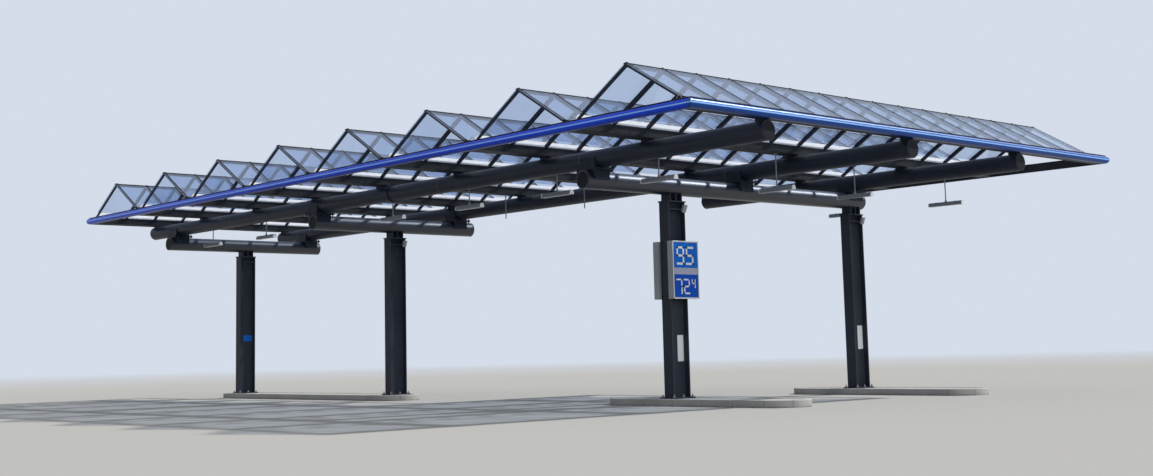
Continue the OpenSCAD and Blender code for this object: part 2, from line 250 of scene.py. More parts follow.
def new_material(name):
    """An empty material and its node tree."""
    material = bpy.data.materials.new(name)
    material.use_nodes = True
    material.node_tree.nodes.clear()
    return material, material.node_tree


def show(tree, shader, kind="Material"):
    """Links the last shader to the tree's output."""
    output = add_node(tree, "Output" + kind)
    tree.links.new(shader.outputs[0], output.inputs["Surface"])


def place(tree, stretch=EVEN):
    """Object coordinates in metres, scaled along each axis."""
    at = add_node(tree, "TexCoord").outputs["Object"]
    return add_node(tree, "Mapping", {"Vector": at, "Scale": stretch}).outputs["Vector"]


def noise(tree, scale, detail=4.0, stretch=EVEN):
    inputs = {"Vector": place(tree, stretch), "Scale": scale, "Detail": detail, "Roughness": 0.55}
    return add_node(tree, "TexNoise", inputs).outputs["Fac"]


def remap(tree, value, low, high, out_low=0.0, out_high=1.0):
    inputs = {"Value": value, "From Min": low, "From Max": high, "To Min": out_low, "To Max": out_high}
    return add_node(tree, "MapRange", inputs).outputs["Result"]


def cloud(tree, low, high, scale, detail=4.0, stretch=EVEN):
    """Noise spread from 0 at one of its levels to 1 at another."""
    return remap(tree, noise(tree, scale, detail, stretch), low, high)


def blend(tree, factor, a, b):
    """Mix of two colours."""
    return add_node(tree, "Mix", {0: factor, 6: a, 7: b}, data_type="RGBA").outputs[2]


def layer(tree, base, rows):
    """Colours laid over a base, each by a factor and a share."""
    for factor, share, colour in rows:
        base = blend(tree, times(tree, factor, share), base, colour)
    return base


def mix_shaders(tree, factor, a, b):
    return add_node(tree, "MixShader", {0: factor, 1: a.outputs[0], 2: b.outputs[0]})


def calculate(tree, operation, a, b):
    return add_node(tree, "Math", {0: a, 1: b}, operation=operation).outputs[0]


def times(tree, a, b):
    return calculate(tree, "MULTIPLY", a, b)


def plus(tree, a, b):
    return calculate(tree, "ADD", a, b)


def part_of(tree, vector, axis):
    """One of the three numbers of a vector."""
    return add_node(tree, "SeparateXYZ", {"Vector": vector}).outputs[axis]


def upward(tree):
    """How far a face looks up, from 0 to 1."""
    normal = add_node(tree, "NewGeometry").outputs["Normal"]
    return remap(tree, part_of(tree, normal, "Z"), 0.55, 0.98)


def face_shade(tree):
    """The shade that a shape gave to each of its faces."""
    return add_node(tree, "Attribute", attribute_name="shade").outputs["Fac"]


def bump(tree, height, strength, distance):
    inputs = {"Height": height, "Strength": strength, "Distance": distance}
    return add_node(tree, "Bump", inputs).outputs["Normal"]


# Materials

# Pale layer on faces that look up: dust, and painted light on their lit tops
TOP_DUST_AND_LIGHT = (0.30, 0.31, 0.33)
# Sky-blue tint of the gloss on the fascia and its bead: a painted sky reflection
PAINTED_SKY_TINT = (0.40, 0.72, 1.0)
STEEL = (0.009, 0.014, 0.027)
STEEL_WORN = (0.017, 0.023, 0.037)
WORN_SHARE = 0.7
WORN_DULLS = 0.1
DUST_DULLS = 0.2


def paint(name, colour, worn, roughness, dust=0.12, streaks=0.35, metallic=0.0, specular=0.35,
          tint=EVEN, coat=0.3, coat_rough=0.3, coat_ior=1.5):
    """Coated steel: broad patches, rain streaks, dust with painted light on what looks up, and fine bumps."""
    material, tree = new_material(name)
    patches = cloud(tree, 0.35, 0.7, scale=0.9, detail=5.0)
    runs = cloud(tree, 0.52, 0.75, scale=1.4, stretch=(9, 9, 0.5))
    speckle = cloud(tree, 0.45, 0.7, scale=38.0, detail=3.0)
    # Mask of faces that look up, for dust and painted top light
    dust_and_top_light_mask = times(tree, upward(tree), remap(tree, noise(tree, 2.6, 6.0), 0.2, 0.7, 0.6, 1.0))
    base = layer(tree, colour, ((patches, WORN_SHARE, worn), (runs, streaks, worn), (dust_and_top_light_mask, dust, TOP_DUST_AND_LIGHT)))
    shine = remap(tree, patches, 0, 1, roughness, roughness + WORN_DULLS)
    shine = plus(tree, shine, times(tree, dust_and_top_light_mask, DUST_DULLS))
    grain = bump(tree, speckle, strength=0.12, distance=0.0008)
    show(tree, add_node(tree, "BsdfPrincipled", {
        "Base Color": base, "Roughness": shine, "Normal": grain, "Metallic": metallic,
        "Specular IOR Level": specular, "Specular Tint": tint,
        "Coat Weight": coat, "Coat Roughness": coat_rough, "Coat IOR": coat_ior,
    }))
    return material


FASCIA_BLUE = ((0.002, 0.042, 0.82), (0.004, 0.058, 0.94))
# Blue of the right run is a painted sky reflection; the low and high blues are painted shade along the nose's
# edges
FASCIA_RIGHT_RUN_SKY_REFLECTION = (0.002, 0.060, 0.29)
FASCIA_RUN_BLUE = (0.012, 0.09, 0.52)
FASCIA_LOW_EDGE_SHADE = (0.002, 0.014, 0.10)
FASCIA_HIGH_EDGE_SHADE = (0.002, 0.018, 0.14)
SKY_REFLECTION_BLEND = 0.03
LOW_EDGE_SHADE_Z = (VALLEY_Z - 0.02, VALLEY_Z - 0.09)
HIGH_EDGE_SHADE_Z = (VALLEY_Z + 0.07, VALLEY_Z + 0.095)


def fascia_material():
    """Glossy blue coat with faint rain marks, deeper on its right run, where a sky reflection is painted, and
    along both edges, where shade is painted.
    """
    material, tree = new_material("fascia_coat")
    at = place(tree)
    height = part_of(tree, at, "Z")
    end_x = cad_high.x - FASCIA_D
    # Painted sky reflection on the right run, painted shade along both edges
    painted_sky_reflection = remap(tree, part_of(tree, at, "X"), end_x - SKY_REFLECTION_BLEND, end_x + SKY_REFLECTION_BLEND)
    low_edge_shade = remap(tree, height, *LOW_EDGE_SHADE_Z)
    high_edge_shade = remap(tree, height, *HIGH_EDGE_SHADE_Z)
    patches = cloud(tree, 0.3, 0.7, scale=0.7, detail=5.0)
    runs = cloud(tree, 0.5, 0.8, scale=1.0, stretch=(14, 14, 0.6))
    base = layer(tree, blend(tree, patches, *FASCIA_BLUE), (
        (painted_sky_reflection, 0.9, FASCIA_RIGHT_RUN_SKY_REFLECTION), (runs, 0.2, FASCIA_RUN_BLUE),
        (low_edge_shade, 0.75, FASCIA_LOW_EDGE_SHADE), (high_edge_shade, 0.6, FASCIA_HIGH_EDGE_SHADE),
    ))
    fine = bump(tree, noise(tree, 30.0), strength=0.06, distance=0.0006)
    show(tree, add_node(tree, "BsdfPrincipled", {
        "Base Color": base, "Roughness": 0.3, "Normal": fine,
        "Specular IOR Level": 0.4, "Specular Tint": PAINTED_SKY_TINT,
    }))
    return material


GLASS_TINT = ((0.83, 0.875, 0.955), (0.765, 0.825, 0.925))
GLASS_DUST = ((0.50, 0.60, 0.77), (0.50, 0.54, 0.60))
GLASS_GLOSS = (0.86, 0.92, 1.0)
GLASS_VEIL = 0.03
GLASS_DUSTY_Z = (VALLEY_Z + 0.42, VALLEY_Z + 0.14)
GLASS_MIRROR = (0.035, 0.62)


def glass_material():
    """Clear tinted glass with a film of dust, thicker at its foot and in streaks down the slope."""
    material, tree = new_material("roof_glass_panes")
    foot = remap(tree, part_of(tree, place(tree), "Z"), *GLASS_DUSTY_Z)
    clouds = cloud(tree, 0.3, 0.75, scale=1.1, detail=6.0)
    runs = cloud(tree, 0.45, 0.75, scale=1.0, stretch=(1.2, 14, 1.2))
    shade = face_shade(tree)
    dirt = times(tree, clouds, 0.035)
    for factor, share in ((runs, 0.03), (foot, 0.07), (shade, 0.045)):
        dirt = plus(tree, dirt, times(tree, factor, share))
    dirt = plus(tree, dirt, GLASS_VEIL)
    clear = add_node(tree, "BsdfTransparent", {"Color": blend(tree, shade, *GLASS_TINT)})
    film = blend(tree, foot, *GLASS_DUST)
    veil = add_node(tree, "BsdfDiffuse", {"Color": film})
    glow = add_node(tree, "BsdfTranslucent", {"Color": film})
    body = mix_shaders(tree, dirt, clear, mix_shaders(tree, 0.5, veil, glow))
    facing = add_node(tree, "LayerWeight", {"Blend": 0.5}).outputs["Facing"]
    mirror = remap(tree, calculate(tree, "POWER", facing, 4.0), 0.0, 1.0, *GLASS_MIRROR)
    gloss = add_node(tree, "BsdfGlossy", {"Color": GLASS_GLOSS, "Roughness": 0.05})
    show(tree, mix_shaders(tree, mirror, body, gloss))
    return material


STRIP_WHITE = (0.965, 0.97, 0.985)
STRIP_GREY = (0.78, 0.79, 0.80)


def strip_material():
    """White sheet that lets light through, with grey rain marks."""
    material, tree = new_material("white_eaves_strip")
    marks = cloud(tree, 0.42, 0.8, scale=1.0, detail=5.0, stretch=(2, 7, 2))
    base = layer(tree, STRIP_WHITE, ((marks, 0.3, STRIP_GREY),))
    fine = bump(tree, noise(tree, 60.0), strength=0.1, distance=0.0005)
    shader = add_node(tree, "BsdfPrincipled", {"Base Color": base, "Roughness": 0.42, "Normal": fine})
    glow = add_node(tree, "BsdfTranslucent", {"Color": base})
    show(tree, mix_shaders(tree, 0.85, shader, glow))
    return material


# Side colour kept deep as painted shade, top colour as painted light, foot colour as painted contact shade
# with splashed dirt
CONCRETE_SHADED_SIDE = ((0.33, 0.33, 0.325), (0.45, 0.445, 0.43))
CONCRETE_GRAIN = (0.26, 0.255, 0.245)
CONCRETE_TOP_LIGHT = (0.64, 0.63, 0.60)
CONCRETE_STONE = (0.36, 0.355, 0.34)
CONCRETE_FOOT_SHADE_AND_SPLASH = (0.09, 0.088, 0.085)
FOOT_SHADE_AND_SPLASH_H = 0.045


def concrete_material():
    """Cast concrete with pores and stains, a paler top as painted light, deeper sides as painted shade, and a
    darker foot as painted contact shade with splashed dirt.
    """
    material, tree = new_material("cast_concrete")
    at = place(tree)
    clouds = cloud(tree, 0.3, 0.7, scale=1.3, detail=7.0)
    grain = cloud(tree, 0.35, 0.7, scale=90.0, detail=3.0)
    pores = add_node(tree, "TexVoronoi", {"Vector": at, "Scale": 60.0}).outputs["Distance"]
    foot = remap(tree, part_of(tree, at, "Z"), FOOT_SHADE_AND_SPLASH_H, 0.0)
    foot_shade_and_splash = times(tree, foot, cloud(tree, 0.3, 0.7, scale=5.0))
    # Painted light on the top, painted contact shade with splashed dirt at the foot
    base = layer(tree, blend(tree, clouds, *CONCRETE_SHADED_SIDE), (
        (grain, 0.3, CONCRETE_GRAIN), (upward(tree), 0.7, CONCRETE_TOP_LIGHT),
        (face_shade(tree), 0.35, CONCRETE_STONE), (foot_shade_and_splash, 0.8, CONCRETE_FOOT_SHADE_AND_SPLASH),
    ))
    high = plus(tree, times(tree, grain, 0.4), remap(tree, pores, 0.0, 0.22))
    rough = bump(tree, high, strength=0.35, distance=0.003)
    show(tree, add_node(tree, "BsdfPrincipled", {"Base Color": base, "Roughness": 0.86, "Normal": rough}))
    return material


column_paint = paint(
    "column_paint_coat", (0.026, 0.031, 0.046), (0.042, 0.049, 0.064), 0.42, coat=0.08,
    specular=0.08
)
tube_paint = paint(
    "tube_paint_coat", (0.002, 0.006, 0.016), (0.008, 0.013, 0.025), 0.5, dust=0.22,
    specular=0.03, coat=1.0, coat_rough=0.4, coat_ior=1.72
)
beam_paint = paint(
    "beam_paint_coat", (0.010, 0.014, 0.027), (0.020, 0.025, 0.040), 0.45, dust=0.25,
    specular=0.05, coat=0.35, coat_rough=0.36
)
bar_paint = paint("glazing_bar_coat", STEEL, STEEL_WORN, 0.42, dust=0.05, coat=0.1, specular=0.15)
gutter_paint = paint(
    "gutter_coat", (0.014, 0.017, 0.022), (0.036, 0.037, 0.042), 0.5, streaks=0.6, coat=0.05,
    specular=0.12
)
trim_paint = paint(
    "dark_trim_coat", (0.006, 0.007, 0.011), (0.012, 0.013, 0.018), 0.55, dust=0.03, coat=0.05,
    specular=0.1
)
fascia_paint = fascia_material()
# Pale blue bead along the fascia's nose: a painted highlight line
bead_highlight_paint = paint(
    "fascia_bead_highlight_coat", (0.27, 0.52, 1.0), (0.30, 0.54, 1.0), 0.35, dust=0.02, streaks=0.15, coat=0.0,
    specular=0.9, tint=PAINTED_SKY_TINT
)
lamp_paint = paint("lamp_coat", (0.22, 0.235, 0.26), (0.16, 0.17, 0.19), 0.4, dust=0.2, coat=0.1)
lens_paint = paint("lamp_lens", (0.28, 0.29, 0.31), (0.22, 0.23, 0.24), 0.25, dust=0.0)
sign_paint = paint("sign_coat", (0.33, 0.35, 0.375), (0.25, 0.265, 0.285), 0.4, dust=0.1, coat=0.1)
SIGN_FACE = {"dust": 0.0, "streaks": 0.1, "coat": 0.05, "specular": 0.1}
sign_blue = paint("sign_face_blue", (0.002, 0.14, 0.62), (0.006, 0.14, 0.58), 0.4, **SIGN_FACE)
sign_deep = paint("sign_face_deep_blue", (0.001, 0.075, 0.50), (0.004, 0.075, 0.46), 0.4, **SIGN_FACE)
sign_band = paint("sign_face_band", (0.40, 0.42, 0.52), (0.34, 0.36, 0.45), 0.35, dust=0.0)
sign_white = paint(
    "sign_face_white", (0.84, 0.86, 0.88), (0.76, 0.77, 0.78), 0.4, dust=0.0, streaks=0.15, coat=0.1
)
bolt_zinc = paint("bolt_zinc", (0.20, 0.21, 0.22), (0.13, 0.13, 0.14), 0.35, metallic=0.8)
glass = glass_material()
strip_white = strip_material()
concrete = concrete_material()
joint_mortar = paint("joint_mortar", (0.16, 0.155, 0.145), (0.24, 0.23, 0.21), 0.9, coat=0.0)

NODE_MATERIALS = {
    "island": concrete, "column": column_paint, "cross_tube": tube_paint, "beam": beam_paint,
    "beam_cradles": bar_paint, "gutter": gutter_paint, "gutter_seats": bar_paint, "fascia": fascia_paint,
    "rafters": bar_paint, "ridge_bars": bar_paint, "roof_glass": glass, "eaves_strips": strip_white,
    "lamp_rods": lamp_paint, "ceiling_lamps": lamp_paint, "price_sign": sign_paint,
}


def dress_nodes():
    """Gives every node the material whose key begins its name, the longest key first."""
    for name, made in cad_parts.items():
        start = max((key for key in NODE_MATERIALS if name.startswith(key)), key=len)
        made.data.materials.clear()
        made.data.materials.append(NODE_MATERIALS[start])


# Roof

PANE_LIFT = 0.0005
PANE_JOINT = 0.012
PANE_SHORT = 0.008
PANE_INSIDE = 0.012
RIDGE_JOINT = 0.025
CAP_W = 0.036
CAP_T = 0.006
CAP_DOWN = 0.01
CAP_OVER = 0.004
RIDGE_CAP_W = 0.045
RIDGE_CAP_LIFTS = (GLASS_T + 0.001, GLASS_T + 0.005)
COVER_UP = 0.016
COVER_HALF = (0.016, 0.025)
COVER_H = 0.014
BAR_W = 0.066
BAR_D = 0.078
GABLE_BAR_W = 0.052
GABLE_BAR_D = 0.05
RIDGE_BAR_HALF = 0.026
RIDGE_BAR_D = 0.075
RIDGE_BAR_LAP = 0.004
STRIP_W = 0.1
STRIP_T = 0.006
STRIP_TURN = 0.06
STRIP_LIFT = 0.0002
STRIP_CLEAR = 0.0004
# Slim strips on right slopes, blackened as painted shade
SHADE_STRIP_W = 0.014
SHADE_STRIP_T = GLASS_T + 0.003
SHOE_W = 0.11
SHOE_T = 0.006
SHOE_H = 0.12
SHOE_BOLT_OUT = 0.042
SHOE_BOLT_DOWN = 0.095
SHOE_BOLT_R = 0.011


class Ridge:
    """Places along one ridge, read from the frame."""

    def __init__(self, number):
        low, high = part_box(f"rafters_{number}")
        glass_low, glass_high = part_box(f"roof_glass_{number}")
        self.number = number
        self.x = (low.x + high.x) / 2
        self.foot_run = (high.x - low.x) / 2
        self.glass_run = (glass_high.x - glass_low.x) / 2
        self.first = low.y + RAFTER_W / 2
        self.bays = round((high.y - low.y - RAFTER_W) / BAY)
        self.start = glass_low.y
        self.end = glass_high.y
        self.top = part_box("ridge_bars")[1].z

    def rafter(self, j):
        return self.first + j * BAY

    def point(self, side, run, y, lift):
        """A point on a slope: run is level from the ridge, lift is square to the rafters' tops."""
        x = self.x + side * (run + lift * math.sin(SLOPE))
        return Vector((x, y, self.top - run * math.tan(SLOPE) + lift * math.cos(SLOPE)))

    def slab(self, shape, side, runs, ys, lifts, shade=0.5):
        """Flat slab on a slope, between two runs, two places along Y and two lifts."""
        shape.block([self.point(side, runs[i], ys[j], lift) for lift in lifts for i, j in CORNERS], shade)

    def bar(self, shape, side, runs, ys, depth):
        """Bar under the glass with upright ends, between two runs."""
        drops = (-depth / math.cos(SLOPE), 0)
        shape.block([self.point(side, runs[i], ys[j], 0) + UP * drop for drop in drops for i, j in CORNERS])


def valley_x(i):
    """Middle of a gutter, counted leftwards from 0 at the right edge of the roof."""
    return Ridge(1).x + PITCH / 2 - PITCH * i


def pane_foot(ridge, side):
    """Run at which panes end: on the strip on left slopes, at the gutter on right ones."""
    return ridge.glass_run - PANE_SHORT if side < 0 else ridge.foot_run + GUTTER_T - PANE_INSIDE


def glass_panes(ridge, luck):
    """One pane for each bay and slope, with open joints over the rafters."""
    shape = Shape()
    for side in (-1, 1):
        for j in range(ridge.bays):
            start = ridge.start if j == 0 else ridge.rafter(j) + PANE_JOINT / 2
            end = ridge.end if j == ridge.bays - 1 else ridge.rafter(j + 1) - PANE_JOINT / 2
            runs = (RIDGE_JOINT, pane_foot(ridge, side))
            ridge.slab(shape, side, runs, (start, end), (PANE_LIFT, GLASS_T), luck.random())
    name = f"glass_panes_{ridge.number}"
    made = piece(name, shape, glass, bevel=0.002)
    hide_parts(f"roof_glass_{ridge.number}")


def glazing_caps(ridge, caps, covers):
    """Caps over the joints of the glass, a ridge cap, and a small screw cover on it at each rafter."""
    for j in range(ridge.bays + 1):
        y = ridge.rafter(j)
        for side in (-1, 1):
            runs = (RIDGE_JOINT + CAP_DOWN, pane_foot(ridge, side) + CAP_OVER)
            ridge.slab(caps, side, runs, about(y, CAP_W), (GLASS_T, GLASS_T + CAP_T))
        z = ridge.top + COVER_UP
        covers.pad(ridge.x, y, *COVER_HALF, z, z + COVER_H)
    for side in (-1, 1):
        ridge.slab(caps, side, (0.0, RIDGE_CAP_W), (ridge.start, ridge.end), RIDGE_CAP_LIFTS)


def foot_strip(ridge, side, shape):
    """Sheet at a slope's foot, turned down into the gutter. It is slim on right slopes, where its black paint
    is painted shade.
    """
    foot = ridge.foot_run + GUTTER_T
    ys = (ridge.start, ridge.end)
    top = ridge.foot_run - STRIP_W * math.cos(SLOPE) if side < 0 else foot - SHADE_STRIP_W
    thick = STRIP_T if side < 0 else SHADE_STRIP_T
    ridge.slab(shape, side, (top, foot + STRIP_T), ys, (STRIP_LIFT, thick))
    inner = ridge.x + side * (foot + STRIP_CLEAR)
    outer = ridge.x + side * (foot + STRIP_T)
    shape.box((inner, ys[0], GUTTER_EDGE_Z - STRIP_TURN), (outer, ys[1], ridge.point(side, foot, 0, 0).z))


def hex_head(shape, at, way, radius, height=0.012):
    """Six-sided head of a bolt."""
    shape.lathe(at, way, [(0, radius), (height, radius)], HEX_SIDES)


def rafter_shoes(ridge, shape):
    """Bolted plate between each rafter's foot and the side of the gutter."""
    top = GUTTER_EDGE_Z
    for side in (-1, 1):
        outer = ridge.x + side * ridge.foot_run
        inner = ridge.x + side * (ridge.foot_run - SHOE_T)
        for j in range(ridge.bays + 1):
            y = ridge.rafter(j)
            shape.box((outer, y - SHOE_W / 2, top - SHOE_H), (inner, y + SHOE_W / 2, top))
            for turn in (-1, 1):
                at = Vector((inner, y + turn * SHOE_BOLT_OUT, top - SHOE_BOLT_DOWN))
                hex_head(shape, at, (-side, 0, 0), SHOE_BOLT_R)


def glazing_bars(ridge, bars):
    """Slim rafters under the joints of the glass, and the ridge bar that they meet."""
    half = RIDGE_BAR_HALF
    for j in range(ridge.bays + 1):
        y = ridge.rafter(j)
        width, depth = (GABLE_BAR_W, GABLE_BAR_D) if j in (0, ridge.bays) else (BAR_W, BAR_D)
        for side in (-1, 1):
            ridge.bar(bars, side, (half - RIDGE_BAR_LAP, ridge.foot_run), about(y, width), depth)
    eave = ridge.top - half * math.tan(SLOPE)
    under = ridge.top - RIDGE_BAR_D
    outline = [(0, ridge.top), (half, eave), (half, under), (-half, under), (-half, eave)]
    ys = (ridge.rafter(0) - GABLE_BAR_W / 2, ridge.rafter(ridge.bays) + GABLE_BAR_W / 2)
    bars.sweep(outline, [(Vector((ridge.x, y, 0)), RIGHT, UP) for y in ys])


def build_roof():
    """Panes, caps, covers, foot strips, shoes and slim bars of all the ridges."""
    luck = random.Random(7)
    caps, covers, white, shade_strips, shoes = shapes(5)
    for number in range(1, RIDGES + 1):
        ridge = Ridge(number)
        glass_panes(ridge, luck)
        glazing_caps(ridge, caps, covers)
        foot_strip(ridge, -1, white)
        foot_strip(ridge, 1, shade_strips)
        rafter_shoes(ridge, shoes)
        bars = Shape()
        glazing_bars(ridge, bars)
        made = piece(f"glazing_bars_{number}", bars, bar_paint, bevel=0.004, steps=2)
        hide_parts(f"rafters_{number}", "ridge_bars")
    piece("glazing_caps", caps, trim_paint, bevel=0.002)
    piece("ridge_screw_covers", covers, trim_paint, bevel=0.003)
    piece("rafter_shoes", shoes, bar_paint)
    left = piece("foot_strips_white", white, strip_white, bevel=0.001)
    # Right slopes' strips take the black trim paint: painted shade at the foot of the glass
    right = piece("foot_strips_painted_shade", shade_strips, trim_paint, bevel=0.001)
    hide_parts("eaves_strips")
    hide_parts("eaves_strips")


# Fascia and gutters

NOSE_R = 0.1
NOSE_STEPS = 12
BEAD_H = 0.03
BEAD_OUT = 0.005
BEAD_IN = 0.004
FLASHING_H = 0.024
FLASHING_SHORT = 0.11
FLASHING_SINK = 0.001
LIP = NOSE_R * 0.42
LIP_DOWN = 0.012
LIP_UP = 0.004
BACK_T = 0.003
BACK_X = -FASCIA_D - BACK_T
SHEET_L = 3.4
BUTT_T = 0.0016
BUTT_HALF_W = 0.03
# Outlines as (out from the nose, up from its middle)
BEAD_TOP = [(BEAD_OUT, BEAD_H * 0.15), (BEAD_OUT * 0.7, BEAD_H * 0.4), (-BEAD_IN, BEAD_H / 2)]
BEAD = [(u, -v) for u, v in reversed(BEAD_TOP)] + BEAD_TOP
FLASHING = (
    (-FASCIA_D, NOSE_R - FLASHING_SINK), (-LIP, NOSE_R - LIP_DOWN), (-LIP, NOSE_R + LIP_UP),
    (-NOSE_R, NOSE_R + FLASHING_H), (-FASCIA_D, NOSE_R + FLASHING_H),
)
BACK_PLATE = ((-FASCIA_D, -NOSE_R), (-FASCIA_D, NOSE_R), (BACK_X, NOSE_R), (BACK_X, -NOSE_R))


def fascia_runs():
    """Start of each fascia at its nose, the way along it, the way out and its length."""
    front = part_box("fascia_front")
    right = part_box("fascia_right")
    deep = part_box("fascia_rear_deep")
    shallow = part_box("fascia_rear_shallow")
    corners = [
        (front[0].x, front[0].y), (front[1].x, front[0].y), (right[1].x, right[1].y),
        (deep[0].x, right[1].y), (deep[0].x, shallow[1].y), (front[0].x, shallow[1].y),
    ]
    points = [Vector((x, y, VALLEY_Z)) for x, y in corners]
    for start, end in zip(points, points[1:] + points[:1]):
        along = (end - start).normalized()
        yield start, along, along.cross(UP), (end - start).length


def strip_along(shape, run, outline, start_in, end_in):
    """Carries an outline along a fascia, short of its ends."""
    start, along, out, length = run
    shape.sweep(outline, [(start + along * t, out, UP) for t in (start_in, length - end_in)])


def nose_arc(radius):
    """Half circle round the nose from its top to its underside."""
    turns = [math.pi / 2 - math.pi * i / NOSE_STEPS for i in range(NOSE_STEPS + 1)]
    return [(radius * math.cos(t) - NOSE_R, radius * math.sin(t)) for t in turns]


def build_fascia_trims():
    """Bead as a painted highlight line, flashing, back plates as painted shade, and the straps over the
    joints of the fascia's sheets.
    """
    bead, flashing, back_shade_plates, straps = shapes(4)
    strap = nose_arc(NOSE_R + BUTT_T) + nose_arc(NOSE_R)[::-1]
    for run in fascia_runs():
        strip_along(bead, run, BEAD, -BEAD_IN, -BEAD_IN)
        strip_along(flashing, run, FLASHING, FLASHING_SHORT, FLASHING_SHORT)
        strip_along(back_shade_plates, run, BACK_PLATE, FASCIA_D, FASCIA_D)
        length = run[3]
        count = round(length / SHEET_L)
        for i in range(1, count):
            at = length * i / count
            strip_along(straps, run, strap, at - BUTT_HALF_W, length - at - BUTT_HALF_W)
    piece("fascia_bead", bead, bead_highlight_paint)
    piece("fascia_flashing", flashing, trim_paint, bevel=0.002)
    # Back plates in near-black gutter paint: painted shade on the fascia's inner side
    piece("fascia_back_shade_plates", back_shade_plates, gutter_paint)
    piece("fascia_butt_straps", straps, fascia_paint)


HOOP_R = 0.065
HOOP_TALL = 1.3
HOOP_WIRE = 0.007
HOOP_STEPS = 12
HOOP_IN = 0.1
HOOP_UP = 0.01
HOOP_ASIDE = 0.13
FIRST_HOOP_ASIDE = -0.2


def valley_hoops():
    """Bent wire guard over the mouth of each gutter at the front."""
    shape = Shape()
    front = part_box("fascia_front")[0].y
    for i in range(RIDGES):
        x = valley_x(i) + (HOOP_ASIDE if i else FIRST_HOOP_ASIDE)
        base = Vector((x, front + HOOP_IN, VALLEY_Z + NOSE_R + HOOP_UP))
        frames = []
        for k in range(HOOP_STEPS + 1):
            t = math.pi * k / HOOP_STEPS
            out = Vector((math.cos(t), 0, HOOP_TALL * math.sin(t)))
            frames.append((base + out * HOOP_R, out.normalized() * HOOP_WIRE, REAR * HOOP_WIRE))
        shape.sweep(circle(WIRE_SIDES), frames)
    piece("gutter_guards", shape, sign_paint)


STRAP_W = 0.045
STRAP_T = 0.005
STRAP_UP = 0.15
STRAP_STEP = 3
STRAP_FROM_BEAM = 0.3


def gutter_straps():
    """Steel straps round the gutters, in every third bay."""
    shape = Shape()
    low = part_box("gutters_deep")[0].z
    beams = [middle(name).y for name in BEAMS]
    half = GUTTER_W / 2
    out = half + STRAP_T
    for i in range(1, RIDGES):
        ridge = Ridge(i + 1)
        x = valley_x(i)
        for j in range(1, ridge.bays, STRAP_STEP):
            y = ridge.rafter(j) + BAY / 2
            if min(abs(y - beam) for beam in beams) < STRAP_FROM_BEAM:
                y += BAY
            ys = about(y, STRAP_W)
            shape.box((x - out, ys[0], low - STRAP_T), (x + out, ys[1], low))
            for side in (-1, 1):
                shape.box((x + side * half, ys[0], low), (x + side * out, ys[1], low + STRAP_UP))
    piece("gutter_straps", shape, bar_paint, bevel=0.001)


# Beams, cross tubes and their joints

# Cross tubes, each with the number of beams that lie on it, counted from the front
CROSSINGS = (("cross_tube_left", 2), ("cross_tube_middle", 2), ("cross_tube_right", 3))
TUBE_SIDES = 64
WELD_STEP = 5.6
# Profiles as (distance along the tube, radius)
END_PLATE = ((0, BEAM_R - 0.02), (0.004, BEAM_R - 0.022), (0.004, 0.1), (0.002, 0.05))
END_WELD = (
    (-0.014, BEAM_R - 0.002), (-0.014, BEAM_R + 0.001), (-0.008, BEAM_R + 0.004), (-0.002, BEAM_R + 0.001),
    (-0.002, BEAM_R - 0.002),
)
SEAM_WELD = (
    (-0.009, BEAM_R - 0.002), (-0.006, BEAM_R + 0.002), (0.006, BEAM_R + 0.002), (0.009, BEAM_R - 0.002),
)


def tube_run(name):
    """Start, way along and length of a round tube, read from its box."""
    low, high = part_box(name)
    at = (low + high) / 2
    if high.x - low.x > high.y - low.y:
        axis_z = at.z if name == "beam_front" else high.z - BEAM_R
        return Vector((low.x, at.y, axis_z)), RIGHT, high.x - low.x
    return Vector((at.x, low.y, at.z)), REAR, high.y - low.y


def tube_trims(name, ends, welds):
    """Closing plates with a weld round them at both ends, and the seams between lengths."""
    start, along, length = tube_run(name)
    for at, way in ((start, -along), (start + along * length, along)):
        ends.lathe(at, way, END_PLATE, TUBE_SIDES)
        ends.lathe(at, way, END_WELD, TUBE_SIDES)
    count = max(1, round(length / WELD_STEP))
    for i in range(1, count):
        welds.lathe(start + along * length * i / count, along, SEAM_WELD, TUBE_SIDES)


# Profiles as (distance along, radius) in sizes across the nut's flats, but along the stub in its lengths
NUT_R = 0.5 / math.cos(math.pi / 6)
WASHER = ((0, 1.008), (0.16, 1.008))
NUT = ((0.16, NUT_R), (0.84, NUT_R), (0.96, NUT_R * 0.88))
STUB = ((0, 0.275), (0.8, 0.275), (1, 0.225))


def hex_bolt(shape, at, way, across, stub=0.012):
    """Washer, hexagon nut and the end of its bolt, seated at a point and pointing one way."""
    for profile, sides in ((WASHER, RING_SIDES), (NUT, HEX_SIDES)):
        shape.lathe(at, way, [(along * across, r * across) for along, r in profile], sides)
    top = Vector(at) + way * NUT[-1][0] * across
    shape.lathe(top, way, [(along * stub, r * across) for along, r in STUB], STUD_SIDES)


SPLICE_VALLEY = 4
SPLICE_FROM_VALLEY = 0.49
SPLICE_HALF_L = 0.03
SPLICE_BOLTS = 16
SPLICE_BOLT_R = 0.01
SPLICE_BOLT_OUT = BEAM_R + 0.0115
LUG_HALF = (0.012, 0.045)
LUG_IN = 0.01
LUG_UP = 0.05


def splice_bolts(shape):
    """Bolts round both faces of the splice ring, with a lifting lug on its top."""
    low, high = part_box("beam_front")
    at = (low + high) / 2
    x = valley_x(SPLICE_VALLEY) + SPLICE_FROM_VALLEY
    for i in range(SPLICE_BOLTS):
        t = 2 * math.pi * (i + 0.5) / SPLICE_BOLTS
        out = Vector((0, math.cos(t), math.sin(t))) * SPLICE_BOLT_OUT
        for side in (-1, 1):
            hex_head(shape, Vector((x + side * SPLICE_HALF_L, at.y, at.z)) + out, (side, 0, 0), SPLICE_BOLT_R)
    shape.pad(x, at.y, *LUG_HALF, high.z - LUG_IN, high.z + LUG_UP)


